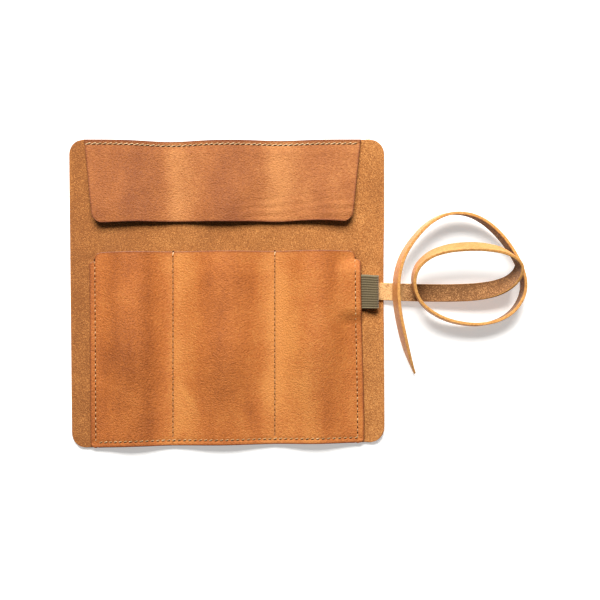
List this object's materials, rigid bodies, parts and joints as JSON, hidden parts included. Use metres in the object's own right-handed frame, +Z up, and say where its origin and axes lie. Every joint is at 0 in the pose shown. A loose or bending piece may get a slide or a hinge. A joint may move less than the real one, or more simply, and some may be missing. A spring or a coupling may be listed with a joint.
{
  "type": "fountain pen case",
  "caption": "Roll-up leather fountain pen case with stitched pen pockets, a hinged protective flap, an elastic pen loop and a leather wrap strap.",
  "frame": {"origin": "centre of the open cover's footprint, on the surface it lies on", "axes": "+X towards the edge with the pen loop and strap, +Y towards the flap, +Z up out of the inside of the case"},
  "size_m": [0.2744, 0.184, 0.0241],
  "materials": {
    "cover_leather": "rough flesh side inside, oiled grain side outside",
    "pocket_leather": "oiled pull-up grain with soft mottling",
    "flap_leather": "oiled pull-up grain",
    "strap_leather": "light grain, rough flesh side",
    "thread": "waxed beige thread",
    "webbing": "ribbed olive elastic webbing"
  },
  "bodies": {
    "right_section": {"cover_right": "cover_leather", "pocket_right": "pocket_leather", "flap_hem_right": "flap_leather", "side_seam_right": "thread", "divider_seam_right": "thread", "bottom_seam_right": "thread", "flap_seam_right": "thread", "loop_tab": "webbing", "wrap_strap": "strap_leather"},
    "middle_section": {"cover_middle": "cover_leather", "pocket_middle": "pocket_leather", "flap_hem_middle": "flap_leather", "divider_seam_left": "thread", "bottom_seam_middle": "thread", "flap_seam_middle": "thread"},
    "left_section": {"cover_left": "cover_leather", "pocket_left": "pocket_leather", "flap_hem_left": "flap_leather", "side_seam_left": "thread", "bottom_seam_left": "thread", "flap_seam_left": "thread"},
    "flap_right": {"flap_right": "flap_leather"},
    "flap_middle": {"flap_middle": "flap_leather"},
    "flap_left": {"flap_left": "flap_leather"},
    "pen_loop": {"pen_loop": "webbing"}
  },
  "joints": [
    {"name": "middle_fold", "type": "hinge", "parent": "right_section", "child": "middle_section", "pos_m": [0.029, 0, 0.0039], "axis": [0, 1, 0], "range_deg": [0, 118]},
    {"name": "left_fold", "type": "hinge", "parent": "middle_section", "child": "left_section", "pos_m": [-0.0322, 0, 0.0039], "axis": [0, 1, 0], "range_deg": [0, 118]},
    {"name": "flap_open", "type": "hinge", "parent": "middle_section", "child": "flap_middle", "pos_m": [0, 0.0876, 0.0039], "axis": [-1, 0, 0], "range_deg": [0, 180]},
    {"name": "flap_right_open", "type": "hinge", "parent": "right_section", "child": "flap_right", "pos_m": [0.055, 0.0876, 0.0039], "axis": [-1, 0, 0], "range_deg": [0, 180]},
    {"name": "flap_left_open", "type": "hinge", "parent": "left_section", "child": "flap_left", "pos_m": [-0.058, 0.0876, 0.0039], "axis": [-1, 0, 0], "range_deg": [0, 180]},
    {"name": "loop_lift", "type": "hinge", "parent": "right_section", "child": "pen_loop", "pos_m": [0.0823, 0.0004, 0.0046], "axis": [0, -1, 0], "range_deg": [0, 60]}
  ],
  "couplings": [
    {"joint": "flap_right_open", "follows": "flap_open", "ratio": 1},
    {"joint": "flap_left_open", "follows": "flap_open", "ratio": 1}
  ]
}
